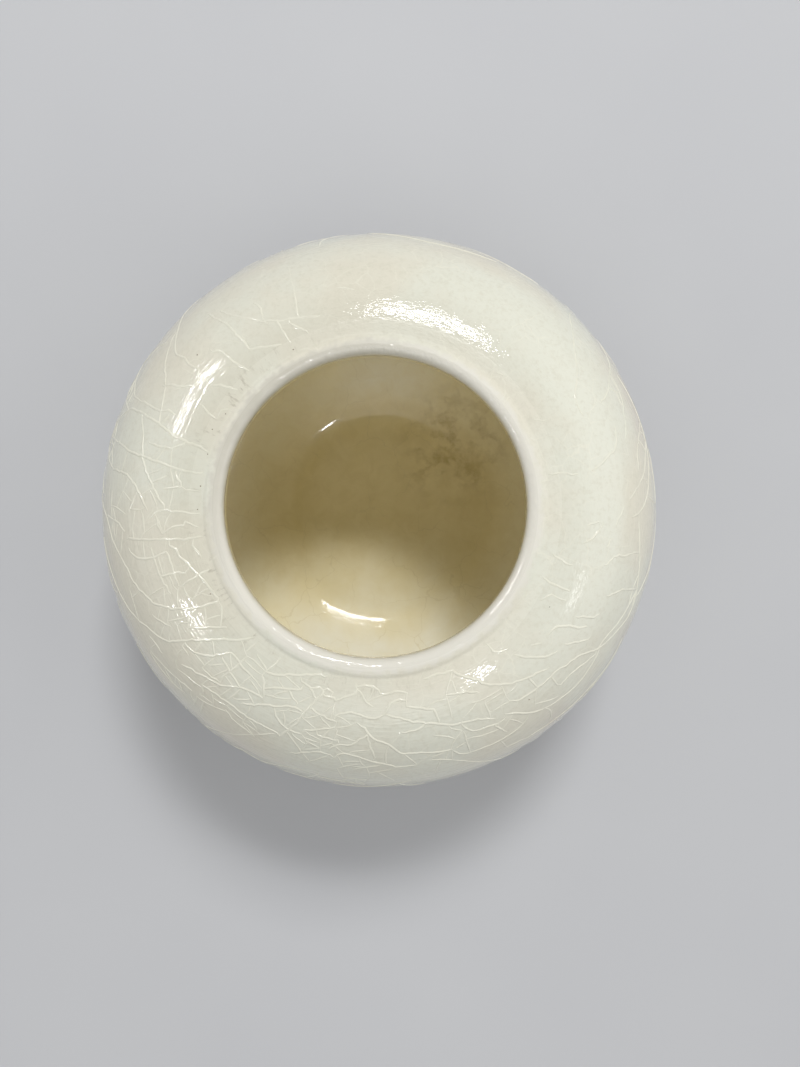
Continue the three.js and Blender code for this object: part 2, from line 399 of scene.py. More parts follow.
strong_routes = [
    [190, .7, 189.9, 3.7, 189.1, 5.7, 188.6, 8.7, 188, 11.3, 187.6, 13.5, 187.3, 15.5],
    [190.8, 6.5, 192, 5.6, 194.5, 5.1, 196.7, 4.2, 199.4, 3.6, 201.7, 2.9, 205, 2.3, 208, 2, 210.3, 1.9],
    [192.2, 7.3, 192.7, 9, 192.8, 11, 192.4, 13, 191.3, 14.4, 189.5, 15.5],
    [200.8, 1, 201.4, 3, 201.9, 4.7, 202.4, 6.2],
    [211.1, 2, 210.5, 3.7, 210, 5, 209.2, 6.3, 208, 8, 206.6, 10, 205, 11.5, 203.8, 12.9, 201.7, 14,
     199.4, 15.2, 197.2, 16.3, 193.9, 17.3, 190.8, 18.7],
    [227.5, 1, 225, 3, 222.2, 4.5, 220, 6.2, 218, 7.8, 216.1, 9.7, 214.7, 11.7, 213.6, 13.3, 212.5, 14.7,
     211, 16, 207.8, 17.7, 205, 20],
    [225.3, 5.8, 223.9, 7.2, 222.2, 8.8, 220, 10.3, 217.8, 11.2, 215.6, 11.3],
    [218.9, 15.2, 221, 14.2, 223.3, 13.5, 226, 12.5, 228.9, 11.7, 231.7, 10.3, 233.3, 9.5, 236, 9,
     239.4, 8.7],
    [225.5, 14.7, 228.3, 14.3, 231, 14, 233.9, 13.8, 238.3, 14.2, 242, 14, 246.1, 14.2, 247.2, 14.7],
    [236.4, 4.5, 239, 4.2, 242, 3.3, 247, 2, 250.5, 1.2, 254.5, .8],
    [238.9, 7, 242, 5.8, 245.5, 4.9, 248, 4.4],
    [235.6, 12.2, 237.8, 11.2, 240.3, 10, 243, 9.1, 245.6, 8.3, 248.3, 7.6, 250.6, 8.1],
    [254.2, 3.3, 253.3, 5, 252.2, 6.3, 250.8, 8.3, 250, 10.3, 248.6, 12.4, 247.2, 14.7],
    [255, 4.1, 258, 4.1, 258.6, 4.5, 261.1, 3.5, 263.3, 3, 264.4, 2.1],
    [259.4, 7, 261.4, 6.3, 263.6, 6.1, 266.1, 6.3, 269, 7, 271.2, 6.6, 272.8, 6, 274, 4.7, 275.5, 4,
     277, 3.8, 279, 4.1],
    [272.8, 6.2, 275.6, 6.8, 278.3, 7.7, 281.1, 8.3, 283.3, 8.8, 286.1, 9.5, 289.4, 10.5, 292.8, 11,
     295.6, 11.5, 297.8, 12.3, 299.4, 13.3],
    [278.9, 5.2, 281.7, 5.7, 284.4, 6.2, 285.8, 6.8, 286.4, 8, 286.4, 9],
    [265, 7.7, 267.2, 8.7, 268.3, 10, 271.1, 11.3, 273.3, 12.3, 275.6, 14.2, 278.3, 14.7, 281.1, 15.2,
     284.4, 15.7, 287.2, 16],
    [260.3, 16.7, 261.7, 15, 262.8, 14.7, 266.1, 15.3, 268.9, 16.2, 272.2, 17.2, 274.4, 18.2, 279, 18.3],
    [285.6, 1.3, 288.9, 1.3, 292.2, 1.4, 295, 1.8, 296.5, 2.8, 298.3, 3.8, 300.5, 5, 302, 6.4, 305, 7.9,
     308, 9, 311, 9.9, 314, 10.8, 317.3, 11.7],
    [128.8, 5, 128.8, 7.3, 129.2, 10, 129.7, 13.3, 130.5, 15, 130.8, 17.3],
    [139.7, 1.5, 140.9, 2.7, 142.2, 4.3, 143.9, 5.8],
    [162, .7, 161.4, 3, 161.1, 5, 160.3, 7.7, 159.7, 9.7, 158.9, 11, 158.6, 13.3, 158.3, 15, 157.9, 17,
     158, 19.3, 158.3, 21.5],
    [168.9, .7, 169.6, 2.7, 169.3, 5, 168.6, 7.7, 168.3, 10, 167.8, 12, 167.5, 14.7, 166.9, 17.3,
     166.1, 19.7, 165.5, 21.5],
    [179.7, 6.8, 177.2, 8, 175, 9, 172.8, 10, 170.3, 11.3, 168.9, 12, 163.9, 13.3, 161.1, 14.3,
     158.9, 15.7],
    [181, 10, 178.3, 11.2, 176.1, 12.3, 174.2, 13.8, 172.8, 15.3, 172.2, 17, 171.7, 19.7, 171.4, 21.7],
    [170.3, 5.3, 172.2, 4.7, 174.2, 4, 174.7, 5.3, 175.3, 7],
    [142.2, 9, 142, 9.7, 142.6, 11, 142.3, 13.3, 142.4, 15.7, 142, 17, 140.6, 18.7],
    [146.7, 8.5, 148.3, 10.3, 149.4, 12.3, 150.3, 14.3],
    [313, 5.3, 315, 7, 317.2, 8.5, 319.2, 10, 321.7, 10.8],
    [323, 7.2, 326.1, 7.8, 327.8, 9.3, 328.9, 11, 330.6, 13.2],
    [304.7, 11.7, 307.2, 12.8, 311.1, 13, 315, 13.3, 317.8, 13.5, 320, 14.3, 323.3, 15.3, 325.6, 17,
     327.2, 19, 329.4, 20.3],
    [301.9, 13.5, 303.9, 14.5, 306.1, 16.3, 308.3, 18, 310, 18.7],
]
common_routes = [
    [182.4, .5, 182, 3, 181, 6, 181.3, 8, 183, 9.6], [184.5, 3.2, 186, 2, 187, 1.2],
    [185.6, 3.5, 185.8, 5.3, 187, 7.2], [192, 2.6, 194.5, 2, 196.7, 1.8],
    [192.5, 7.2, 195, 7, 198.5, 7, 202, 6.9], [190.3, 10, 194, 9.8, 198, 9.7, 201, 9.3, 203.5, 8.8],
    [199.4, 5, 198.6, 6.3, 198.2, 8, 197.9, 9.7], [206.1, 3, 206.7, 4.7, 207.3, 5.6],
    [210.3, 12, 208.9, 12.8, 207.2, 14, 205.8, 14.7],
    [219.2, 3.3, 217.2, 4.7, 215.6, 6.2, 214.2, 7.7, 213, 8.8], [215.6, 12.2, 218.3, 12.3],
    [222.8, 11.8, 226, 11.8, 228.3, 11.3], [225.5, 5.7, 228.3, 5.9, 231, 6.3, 235, 6.7],
    [225.3, 7.7, 227.8, 8.2, 230.5, 8.8, 233.3, 9.5],
    [229.4, 4.3, 229.2, 6, 228.9, 7.7, 228.2, 9.7, 228, 11], [231.4, 3, 233.9, 3.5, 236.4, 4.2],
    [236.1, 5.3, 238.3, 6.7, 239.4, 8.5], [209.4, 18.7, 211.7, 18.2, 214.4, 18],
    [220, 19.5, 222.8, 18.7, 225, 18.3], [226.1, 15.3, 226.9, 16.3, 226.7, 17.3],
    [233.3, 15.7, 235.6, 16.7, 238.3, 17.3, 242, 18], [185.5, 16, 183.3, 18.2, 182.5, 20],
    [185, 13.7, 187.8, 13.8], [182.8, 8.3, 185, 8.2, 187.2, 7.6], [247.2, 3.1, 250, 3.5, 252.8, 5],
    [252.5, 6.8, 255, 7.5, 257.8, 7.9, 259.7, 8], [264.4, 2.1, 263.5, 1],
    [264.5, 1.6, 266.5, 1.3, 269.4, 1.5, 271, 2], [264.4, 2.1, 266, 3.1, 267.3, 4.1, 269.5, 5.1],
    [271.4, 2.6, 273.9, 2.7, 276, 2.4, 279.7, 2.8], [276.4, 9.7, 278.9, 9.7, 281.1, 9.7, 282.5, 9],
    [267.8, 10, 266.1, 11, 264.2, 12.5, 261.1, 12.7, 260, 13.3, 258.9, 14.3],
    [268.1, 10.3, 268.3, 11.7, 268.9, 13.3, 269.7, 15], [243.9, 10, 245.6, 11.5, 248.3, 12.3, 251.9, 12.3],
    [252.2, 11.3, 254.4, 10.8, 256.1, 10.2, 259.4, 9.2], [255.6, 11.5, 258.3, 11.7, 260.6, 11.7],
    [255, 16, 257.2, 15.5, 259.4, 15.7], [265, 19.2, 267.8, 18.2, 271.1, 17.3],
    [248.9, 13.3, 251.1, 15, 253, 16.7], [250.6, 18.3, 253.3, 17, 255, 16.3],
    [290.5, 5, 293.3, 5.4, 296.1, 5.9, 299.2, 7],
    [291.7, 11.5, 292.5, 12.7, 293.3, 13.5, 296.1, 14, 299.4, 14.6], [298.5, 14.8, 299.2, 16, 300.2, 18],
    [287.2, 16, 288.5, 18, 291, 19], [281.7, 17.5, 284.4, 18.2, 287.2, 19.7], [250.6, 3.5, 253, 3],
    [255.3, 2.8, 257.2, 3.2], [245, 5.3, 246.8, 6.2, 248.3, 6.7], [120, 2.6, 123.3, 3.4, 128, 4.8],
    [133, 2.3, 133.9, 4, 134.5, 6, 134.7, 8, 136.7, 10], [151.1, 1.5, 150.8, 3.3, 149.4, 5.3],
    [146.1, .7, 148.3, 1.5, 150.8, 1.7], [171.7, 6.7, 173, 8.3, 173.9, 9.3],
    [141.7, 9.5, 144.4, 8.3, 146.7, 8],
    [155.3, 8.3, 155, 10.3, 155.8, 11.7, 156.1, 14, 155.6, 16.7, 155.6, 18.7],
    [158.3, 11, 154.4, 12, 150.5, 13.2, 148.9, 14.3, 146.7, 16.3, 144.4, 18, 141.7, 20],
    [164.2, 7.3, 164.4, 9.7, 164.2, 11.7], [162, 5, 163.9, 6.7],
    [120.5, 7, 123.3, 9.3, 126.1, 11.7, 128, 14.3, 128.3, 15.5], [309, .7, 309.4, 3, 312.8, 3.8],
    [318.3, 6.3, 320.6, 7.3], [311.9, 10, 311.7, 11.7, 311.8, 13],
    [323.9, 11, 325.6, 12.7, 327.2, 14.3, 328.6, 15.3], [315.8, 13.7, 315.6, 16],
    [316, 16.7, 320, 17, 323.3, 18.2, 326.1, 19.3], [331.1, 10, 332.8, 12.7, 334.4, 14.5],
    [330.3, 3, 333.3, 4.3], [333.3, 5.5, 333.6, 7], [337, 1.7, 336.4, 4, 336.4, 6.7],
    [345, 2, 343.9, 3.7, 343.3, 5.7], [348.3, 13.3, 348.9, 15.7, 349.7, 18],
    [350, 6.7, 351.7, 8.3, 355.6, 10], [354.7, 7, 356.1, 9], [355.6, 12.8, 358.3, 13.7, 360, 14.7],
    [345.6, 11.7, 347.8, 13.3], [350, 11.3, 352.5, 12.2], [338.9, 14.3, 341.1, 17.3, 341.7, 19],
    [357.8, 17, 358.9, 19.3], [9.4, 8.3, 10.6, 10, 12.2, 12, 13.6, 14, 15, 14.8, 18.9, 15.8],
    [106.1, 4.5, 109.4, 5, 113.3, 5.7, 117.2, 6.3, 119.4, 7.2, 121.1, 8], [111.1, 2.3, 113.3, 4, 115, 5.3],
    [120.6, 8.7, 120.3, 10.3, 121.1, 12.3], [117.5, 2, 118, 4.7, 117.8, 6.7],
]
faint_routes = [
    [175, 1, 175, 3],
    [23.9, 9.7, 26.1, 9.5, 28.9, 10, 31.7, 11.7, 35, 14, 38.3, 16, 41.1, 18.7, 42.8, 20.7],
    [25, 14.7, 26.1, 17, 28, 19.3], [15.3, 17.7, 17.2, 18.7, 19.4, 19.7], [1.7, 16, 3.3, 17.7, 5, 19.7],
    [26.7, 3.3, 28.3, 1.5], [10.6, .7, 10, 3, 8.9, 5.7], [8.3, 20, 12.2, 21, 14.4, 22.7],
    [45.6, 2, 47.8, 1.5], [95.6, 8, 100, 9], [112, 6, 110.8, 11],
]
print("routes read:", len(strong_routes) + len(common_routes) + len(faint_routes))

# %% [markdown]
# Growing the rest of the crackle
#
# The photograph can't show the lower belly, where the net goes on, and its weakest lines are too
# many to read. Glaze cracks as drying mud does: a few long cracks first, then shorter ones that
# start square from an older crack and stop where they meet the next. The same rule is played here
# with a seeded random generator, so every run gives the same jar. A grid of small cells finds the
# nearest crack quickly.

# %% Smooth the read routes and let new cracks grow
STEP = 0.6  # mm between two points of a crack
CELL = 2.2  # mm, size of the cells that hold the points
MEETING = 0.55  # mm, how close a crack comes before it joins another
WOBBLE = 0.07  # mm, unevenness of a read crack from point to point
REACH = 1.1  # mm, how far a read crack's end is drawn out to join another
SHOWN_RUN = 18.5  # mm from the neck, where the photograph stops showing the coat
EDGE_RUN = 28  # mm from the neck, where the outline seen from above is left behind
WIDE, NARROW, WEAK = 2.15, 1.6, 1.2  # mm between grown cracks above, below, and for weak ones
CROWDED = 0.15  # share of a crack's points that may lie closer than that
DENSE_SIDE = 235  # degrees, the side where the photograph's net is densest
BEND, WANDER = 2.2, 5  # degrees that a crack turns at each step, steadily and by chance
LONG_TRIES, SHORT_TRIES = 900, 7000  # starts tried for long and for short cracks
LOWEST_RUN = foot_run - 1.2

chance = random.Random(706)
cracks = []  # each is (points, weight), a point being (angle, run)
cells = {}


def cell_of(place):
    return tuple(floor(c / CELL) for c in place)


def add_crack(points, weight):
    """Keeps a crack, and enters its points in the cells"""
    for point in points:
        place = on_coat(*point)
        cells.setdefault(cell_of(place), []).append((place, point, len(cracks)))
    cracks.append((points, weight))


def nearest(place, apart_from=None):
    """Distance and point of the nearest crack within a cell's reach"""
    best = (CELL, None)
    i, j, k = cell_of(place)
    for key in ((a, b, c) for a in (i - 1, i, i + 1) for b in (j - 1, j, j + 1)
                for c in (k - 1, k, k + 1)):
        for other, point, number in cells.get(key, ()):
            distance = (other - place).length
            if distance < best[0] and number != apart_from:
                best = (distance, point)
    return best


def heading_at(points, i, before, after):
    """Degrees from straight down the jar to the way that a crack takes at its point i"""
    radius = hypot(*on_coat(*points[i]).xy)
    sideways = radians(after[0] - before[0]) * radius
    return degrees(atan2(sideways, after[1] - before[1]))


def joined_to(met, angle):
    """The met point, with its angle counted on from the given one across the zero"""
    return met[0] + 360 * round((angle - met[0]) / 360), met[1]


def wobbled(point):
    """The point with a small unevenness of its own"""
    angle, run = point
    aside = degrees(chance.gauss(0, WOBBLE) / hypot(*on_coat(angle, run).xy))
    return angle + aside, run + chance.gauss(0, WOBBLE)


def smooth_route(reading):
    """Runs an even chain of points through a route, bending softly at each read point"""
    knots = [(angle, max(READING_START + READING * run, 0.1))
             for angle, run in zip(reading[::2], reading[1::2])]
    knots = [knots[0]] + knots + [knots[-1]]
    points = [knots[1]]
    for p0, p1, p2, p3 in zip(knots, knots[1:], knots[2:], knots[3:]):
        length = (on_coat(*p1) - on_coat(*p2)).length
        count = max(1, round(length / STEP))
        for i in range(1, count + 1):
            t = i / count
            points.append(wobbled(
                0.5 * (2 * b + (c - a) * t + (2 * a - 5 * b + 4 * c - d) * t * t
                       + (3 * b - a - 3 * c + d) * t * t * t)
                for a, b, c, d in zip(p0, p1, p2, p3)
            ))
    return points


def grow(point, heading, longest, parent):
    """Runs a crack over the coat until it meets another one or has gone far enough"""
    points = [point]
    angle, run = point
    bend = chance.uniform(-BEND, BEND)
    gone = 0.0
    while gone < longest:
        heading += bend + chance.gauss(0, WANDER)
        radius = hypot(*on_coat(angle, run).xy)
        angle += degrees(STEP * sin(radians(heading)) / radius)
        run += STEP * cos(radians(heading))
        gone += STEP
        if not 0.5 < run < LOWEST_RUN:
            return points, gone, False
        distance, met = nearest(on_coat(angle, run), parent if gone < 2 else None)
        if distance < MEETING and gone > 1:
            points.append(joined_to(met, angle))
            return points, gone, True
        points.append((angle, run))
    return points, gone, False


def has_room(points, room=None):
    """Says whether a crack's middle keeps clear of the others"""
    middle = points[3:-3]
    tight = [nearest(on_coat(*point))[0] < (room or (WIDE if point[1] < EDGE_RUN else NARROW))
             for point in middle]
    return sum(tight) <= len(tight) * CROWDED


for routes, weight in ((strong_routes, 1.0), (common_routes, 0.8), (faint_routes, 0.55)):
    for reading in routes:
        add_crack(smooth_route(reading), weight)
read_count = len(cracks)

for number in range(read_count):
    points = cracks[number][0]
    for end in (0, -1):
        distance, met = nearest(on_coat(*points[end]), number)
        if 0.1 < distance < REACH:
            points.insert(0 if end == 0 else len(points), joined_to(met, points[end][0]))

for number in range(read_count):
    points, weight = cracks[number]
    if points[-1][1] > SHOWN_RUN - 3:
        heading = heading_at(points, -1, points[-3], points[-1])
        more, gone, met = grow(points[-1], heading, chance.uniform(10, 30), number)
        if gone > 2:
            add_crack(more, weight)

for _ in range(LONG_TRIES):
    start = (chance.uniform(0, 360), chance.uniform(SHOWN_RUN + 1, LOWEST_RUN - 2))
    heading = chance.choice((0, 90, 180, 270)) + chance.gauss(0, 28)
    points, gone, met = grow(start, heading, chance.uniform(12, 45), None)
    hidden = min(run for _, run in points) > SHOWN_RUN - 2
    if hidden and gone > 6 and nearest(on_coat(*start))[0] > 1.4 and has_room(points):
        add_crack(points, chance.uniform(0.75, 1.0))
long_count = len(cracks)

for _ in range(SHORT_TRIES):
    number = chance.randrange(len(cracks))
    points, weight = cracks[number]
    i = chance.randrange(len(points))
    shown = points[i][1] < SHOWN_RUN - 1
    dense = cos(radians(points[i][0] - DENSE_SIDE))
    if shown and (chance.random() > dense or points[i][1] < 3):
        continue
    along = heading_at(points, i, points[max(i - 1, 0)], points[min(i + 1, len(points) - 1)])
    heading = along + chance.choice((90, -90)) + chance.gauss(0, 14)
    more, gone, met = grow(points[i], heading, chance.uniform(3, 5 if shown else 11), number)
    if gone > 2 and (met or chance.random() < 0.35) and has_room(more, WEAK if shown else None):
        add_crack(more, chance.uniform(0.2, 0.45) if shown else chance.uniform(0.5, 0.85))

total = sum((on_coat(*a) - on_coat(*b)).length for points, _ in cracks
            for a, b in zip(points, points[1:]))
print("cracks read, long and in all:", read_count, long_count, len(cracks))
print("length of all cracks in mm:", round(total))

# %% [markdown]
# The crackle as a raised net
#
# Each crack becomes a low ridge with gentle flanks, because a healed crack in thick glaze is a soft
# welt and not a wire. A curve makes it: another small curve is its profile, a tilt at every point
# turns that profile to lie on the skin, and the points' radii make weak cracks finer and let a
# free end sink away. The curve is then turned into a mesh. Engraving the coat itself would need
# many millions of faces for lines that are half a millimetre wide. The part of the net that the
# photograph shows and the part below it are two pieces.

# %% Lay the ridges of the crackle
RIDGE_HALF = 0.25  # mm, half the width of the strongest ridge
RIDGE_HIGH = 0.09  # mm that it stands above the glaze's face
ACROSS = [(-1, -0.35), (-0.5, 0.6), (0, 1), (0.5, 0.6), (1, -0.35), (0, -2.4)]  # its outline


def poly_curve(name):
    """An empty curve object, and nothing else selected"""
    bpy.ops.object.select_all(action="DESELECT")
    bpy.ops.curve.primitive_nurbs_path_add()
    made = bpy.context.object
    made.name = made.data.name = name
    made.data.splines.clear()
    return made


def ridge_net(name, chosen):
    """Makes one mesh of ridges from a list of (points, weight)"""
    profile = poly_curve("ridge_profile")
    loop = profile.data.splines.new("POLY")
    loop.points.add(len(ACROSS) - 1)
    for knot, (aside, high) in zip(loop.points, ACROSS):
        knot.co = (aside * RIDGE_HALF * MM, high * RIDGE_HIGH * MM, 0, 1)
    loop.use_cyclic_u = True
    net = poly_curve(name)
    net.data.bevel_mode = "OBJECT"
    net.data.bevel_object = profile
    net.data.twist_mode = "Z_UP"
    net.data.use_fill_caps = True
    for points, weight in chosen:
        places = [on_coat(*point) for point in points]
        ways = [(there - here).normalized() for here, there in zip(places, places[1:])]
        spline = net.data.splines.new("POLY")
        spline.points.add(len(points) - 1)
        last = len(points) - 1
        for i, (point, knot) in enumerate(zip(points, spline.points)):
            ahead = (ways[max(i - 1, 0)] + ways[min(i, last - 1)]).normalized()
            up = Vector((0, 0, 1))
            up = (up - ahead * up.dot(ahead)).normalized()
            facing = on_coat(*point, -1.0) - places[i]
            taper = min(1.0, 0.5 + 0.25 * min(i, last - i))
            knot.co = (*(places[i] * MM), 1)
            knot.tilt = atan2(facing.dot(ahead.cross(up)), facing.dot(up))
            knot.radius = (0.55 + 0.45 * weight) * taper * chance.uniform(0.9, 1.08)
    bpy.ops.object.convert(target="MESH")
    bpy.data.objects.remove(profile)
    net = bpy.context.object
    bpy.ops.object.mode_set(mode="EDIT")
    bpy.ops.mesh.select_all(action="SELECT")
    bpy.ops.mesh.normals_make_consistent(inside=False)
    bpy.ops.object.mode_set(mode="OBJECT")
    bpy.ops.object.shade_smooth_by_angle(angle=radians(60))
    print(name, "ridges and faces:", len(chosen), len(net.data.polygons))
    return net


def stands_proud(net):
    """How far the net's highest point stands above the coat's true curve, in mm"""
    best = 0.0
    for vertex in list(net.data.vertices)[::29]:
        radius, height = hypot(*vertex.co.xy) / MM, vertex.co.z / MM
        i = min(range(0, len(coat_line), 4), key=lambda i: dist(coat_line[i], (radius, height)))
        i = min(max(i, 1), len(coat_line) - 2)
        (r0, z0), (r1, z1) = coat_line[i - 1], coat_line[i + 1]
        size = dist((r0, z0), (r1, z1))
        above = ((radius - r0) * (z0 - z1) + (height - z0) * (r1 - r0)) / size
        best = max(best, above)
    return best


upper = [crack for crack in cracks if crack[0][0][1] < SHOWN_RUN]
lower = [crack for crack in cracks if crack[0][0][1] >= SHOWN_RUN]
shoulder_crackle = ridge_net("shoulder_crackle", upper)
belly_crackle = ridge_net("belly_crackle", lower)
for net in (shoulder_crackle, belly_crackle):
    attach(net, "root")
    print(net.name, "stands proud by", round(stands_proud(net), 3), "mm")

# %% [markdown]
# Pinholes
#
# Gas that escaped in the kiln left a few dark specks in the glaze, most of them near the root of
# the lip. Each is a small ball sunk in the glaze, so that only a flat dark cap shows. They are
# modelled once and copied, each copy with its own mesh, and joined.

# %% Set the pinholes
PINHOLES = [  # angle, mm from the neck, radius in mm
    (139.6, 9.4, .26), (308.5, 11.6, .24), (330, 3.8, .16), (117.6, .35, .2), (148.3, .2, .17),
    (154.7, .8, .19), (162.7, .15, .17), (173.4, .2, .21), (181, .45, .17), (208, 1.7, .17),
]

bpy.ops.object.select_all(action="DESELECT")
bpy.ops.mesh.primitive_ico_sphere_add(subdivisions=2, radius=MM)
first = bpy.context.object
specks = []
for angle, run, radius in PINHOLES:
    speck = first.copy()
    speck.data = first.data.copy()
    bpy.context.collection.objects.link(speck)
    speck.scale = (radius,) * 3
    speck.location = on_coat(angle, run, radius * 0.86) * MM
    specks.append(speck)
bpy.data.objects.remove(first)
for speck in specks:
    speck.select_set(True)
bpy.context.view_layer.objects.active = specks[0]
bpy.ops.object.join()
pinholes = bpy.context.object
pinholes.name = pinholes.data.name = "pinholes"
bpy.ops.object.transform_apply(location=True, rotation=True, scale=True)
bpy.ops.object.shade_smooth()
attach(pinholes, "root")
print("pinholes:", len(PINHOLES), "with faces:", len(pinholes.data.polygons))

# %% [markdown]
# Shader maths as plain expressions
#
# A material here is a small formula of places and noises. Wired by hand it would be dozens of
# Math nodes, so a class wraps a socket, and a plus or a times between two of them adds the node.
# Any other node comes from one method that takes its type, its settings and its sockets.


# %% A socket that can be reckoned with
class Wire:
    """A node socket on which Python's operators add Math nodes"""

    def __init__(self, tree, socket=None):
        self.tree = tree
        self.socket = socket

    def node(self, kind, settings=None, sockets=None, output=0):
        """Adds a shader node, sets it up, fills its sockets and returns one of its outputs"""
        added = self.tree.nodes.new("ShaderNode" + kind)
        for name, value in (settings or {}).items():
            setattr(added, name, value)
        for key, value in (sockets or {}).items():
            if isinstance(value, Wire):
                self.tree.links.new(value.socket, added.inputs[key])
            else:
                added.inputs[key].default_value = value
        return Wire(self.tree, added.outputs[output])

    def math(self, operation, first, second=0.0):
        return self.node("Math", {"operation": operation}, {0: first, 1: second})

    def __add__(self, other):
        return self.math("ADD", self, other)

    def __mul__(self, other):
        return self.math("MULTIPLY", self, other)

    __radd__ = __add__
    __rmul__ = __mul__

    def __sub__(self, other):
        return self.math("SUBTRACT", self, other)

    def __rsub__(self, other):
        return self.math("SUBTRACT", other, self)

    def __truediv__(self, other):
        return self.math("DIVIDE", self, other)

    def __pow__(self, other):
        return self.math("POWER", self, other)

    def __abs__(self):
        return self.math("ABSOLUTE", self)

    def band(self, low, high):
        """0 below low, 1 above high, and a soft step between them; low may be the higher"""
        flip = low > high
        low, high = sorted((low, high))
        return self.node("MapRange", {"interpolation_type": "SMOOTHSTEP"},
                         {0: self, 1: low, 2: high, 3: float(flip), 4: float(not flip)})

    def mix(self, first, second):
        """The first colour where this is 0 and the second where it is 1"""
        return self.node("Mix", {"data_type": "RGBA"}, {0: self, 6: first, 7: second}, 2)

    def noise(self, scale, detail=2.0, roughness=0.5, distortion=0.0):
        """Noise at this vector, which is in mm, so scale counts lumps per mm"""
        return self.node("TexNoise", None, {
            "Vector": self, "Scale": scale, "Detail": detail, "Roughness": roughness,
            "Distortion": distortion})


def shade(red, green, blue):
    """A screen colour from 0 to 255 as the linear colour that shaders use"""
    linear = [(c / 12.92 if c <= 0.04045 else ((c + 0.055) / 1.055) ** 2.4)
              for c in (red / 255, green / 255, blue / 255)]
    return (*linear, 1.0)


def new_finish(name, roughness, **constants):
    """A material, its shader and a wire with the place on the object in mm"""
    material = bpy.data.materials.new(name)
    material.use_nodes = True
    tree = material.node_tree
    shader = tree.nodes["Principled BSDF"]
    shader.inputs["Roughness"].default_value = roughness
    for key, value in constants.items():
        shader.inputs[key.replace("_", " ")].default_value = value
    start = Wire(tree)
    place = start.node("TexCoord", output="Object")
    place = start.node("VectorMath", {"operation": "SCALE"}, {0: place, "Scale": 1 / MM})
    return material, shader, place


def feed(shader, key, wire):
    wire.tree.links.new(wire.socket, shader.inputs[key])


def parts_of(place):
    """x, y, z and the distance from the axis, all in mm"""
    x, y, z = (place.node("SeparateXYZ", None, {0: place}, i) for i in range(3))
    return x, y, z, (x * x + y * y) ** 0.5


def distance_from(x, y, spot):
    """Distance in mm from an upright line through a spot"""
    return ((x - spot[0]) ** 2.0 + (y - spot[1]) ** 2.0) ** 0.5


def bumped(height, distance, under=None):
    """Normals tilted by a height from 0 to 1 that is distance mm deep"""
    sockets = {"Distance": distance * MM, "Height": height}
    if under:
        sockets["Normal"] = under
    return height.node("Bump", None, sockets)


def craze(place, size, width, wander=1.0):
    """Fine lines between cells of size mm that wander by some mm, 1 on a line"""
    shift = place.node("TexNoise", None, {"Vector": place, "Scale": 0.35, "Detail": 3.0}, "Color")
    moved = place.node("VectorMath", {"operation": "MULTIPLY_ADD"},
                       {0: shift, 1: (wander,) * 3, 2: place})
    edge = place.node("TexVoronoi", {"feature": "DISTANCE_TO_EDGE"}, {"Vector": moved, "Scale": 1 / size})
    return edge.band(width / size, 0)


print("shader helpers are ready")

# %% [markdown]
# The cream glaze
#
# A thick glossy glaze, cream-white, which is never one colour: it is a little warmer in some
# clouds, pinkish where it is thin over the belly, and whiter over the lip. A ring round the lip's
# root is greyed with painted shade, except on the +X side. Orange peel about half a millimetre wide
# breaks the long highlight, and longer strands break the others. Round the lip's root lie short
# dark comb marks. The noise of all three reads the direction from the axis and not the angle,
# because an angle jumps where the circle closes.

# %% Mix the cream glaze
CREAM = shade(213, 213, 199)
WARM_CREAM = shade(212, 208, 192)
PINK_CREAM = shade(202, 191, 179)
# painted shade: the grey of the ring round the lip's root
RING_PAINTED_SHADE = shade(190, 187, 170)
LIP_CREAM = shade(215, 212, 201)
# painted shade for the lip's far left
LIP_SHADE = shade(182, 178, 164)
MOTTLE_SHADE = shade(200, 197, 180)
COMB_SHADE = shade(168, 162, 146)
CRACK_CREAM = shade(221, 219, 203)
GLOSS = 0.05  # roughness of the glaze
COMBED = 0.45  # roughness of the dry ring round the lip's root
LUMPS = (22, 1.8)  # of orange peel in a radian round the jar, and in a millimetre across it
STRANDS = (7, 1.3)  # the same for its drawn-out strands


def glaze_normal(place, peel_depth=0.052, strength=None):
    """Orange peel, drawn out round the jar into strands on the sides, over a slow waviness"""
    x, y, z, radius = parts_of(place)
    wave = bumped(place.noise(0.16, 1.0), 0.04, bumped(place.noise(0.5, 2.0), 0.03))
    lumps, strands = (
        place.node("CombineXYZ", None, {
            0: x / radius * around, 1: y / radius * around, 2: (radius - z) * across,
        }).noise(1.0, 2.0, 0.6) for around, across in (LUMPS, STRANDS))
    north_east = (y + x * 0.8).band(0, 16)
    peel = lumps * north_east + strands * (1.0 - north_east) * 1.35
    return bumped(peel * strength if strength else peel, peel_depth, wave)


def lip_colour(place):
    """White, greyed with painted shade at the far left, where it turns from the light"""
    x, y, z, radius = parts_of(place)
    far = (y * 0.75 - x * 0.7).band(0, 25) * (place.noise(0.4, 3.0) * 0.5 + 0.6)
    return (far * 0.8).mix(LIP_CREAM, LIP_SHADE)


